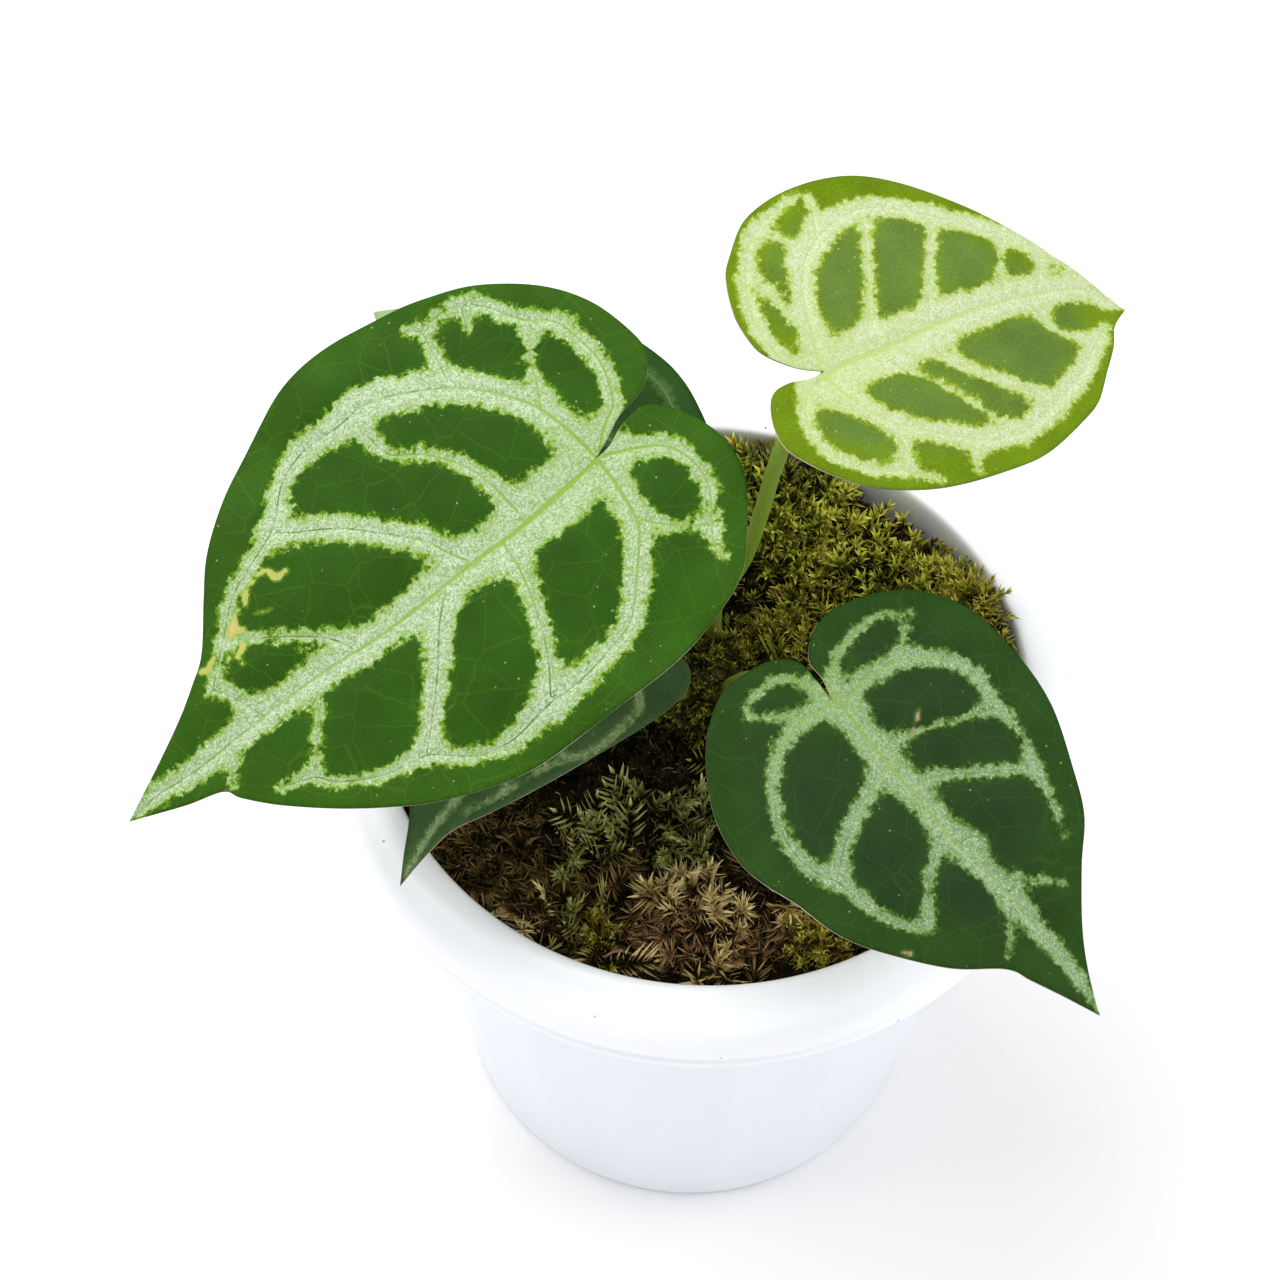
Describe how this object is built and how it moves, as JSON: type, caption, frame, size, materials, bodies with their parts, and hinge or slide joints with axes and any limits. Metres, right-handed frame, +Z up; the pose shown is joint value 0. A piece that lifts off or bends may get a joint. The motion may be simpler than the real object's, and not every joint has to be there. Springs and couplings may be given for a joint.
{
  "type": "potted anthurium",
  "caption": "Potted anthurium: heart-shaped silver-veined leaves on slim stalks, rising from a crown set in moss and potting mix in a white plastic nursery pot.",
  "frame": {"origin": "centre of the pot's foot, on the pot's axis, at floor level", "axes": "+Z up along the pot's axis; the side the plant is seen from faces -Y; +X to the viewer's right"},
  "size_m": [0.1771, 0.1553, 0.2209],
  "materials": {
    "pot": "satin white",
    "potting_mix": "damp bark mix",
    "moss": "matt, leafy",
    "crown": "fibrous",
    "petiole": "smooth",
    "leaf_1": "velvet with silver veins",
    "leaf_2": "young, silky, with pale veins",
    "leaf_3": "velvet with silver veins",
    "leaf_4": "old, satin",
    "leaf_5": "old, satin"
  },
  "bodies": {
    "root": {"pot": "pot", "potting_mix": "potting_mix", "moss": "moss", "crown": "crown", "petiole_1": "petiole", "petiole_2": "petiole", "petiole_3": "petiole", "petiole_4": "petiole", "petiole_5": "petiole", "leaf_1": "leaf_1", "leaf_2": "leaf_2", "leaf_3": "leaf_3", "leaf_4": "leaf_4", "leaf_5": "leaf_5"}
  },
  "joints": []
}
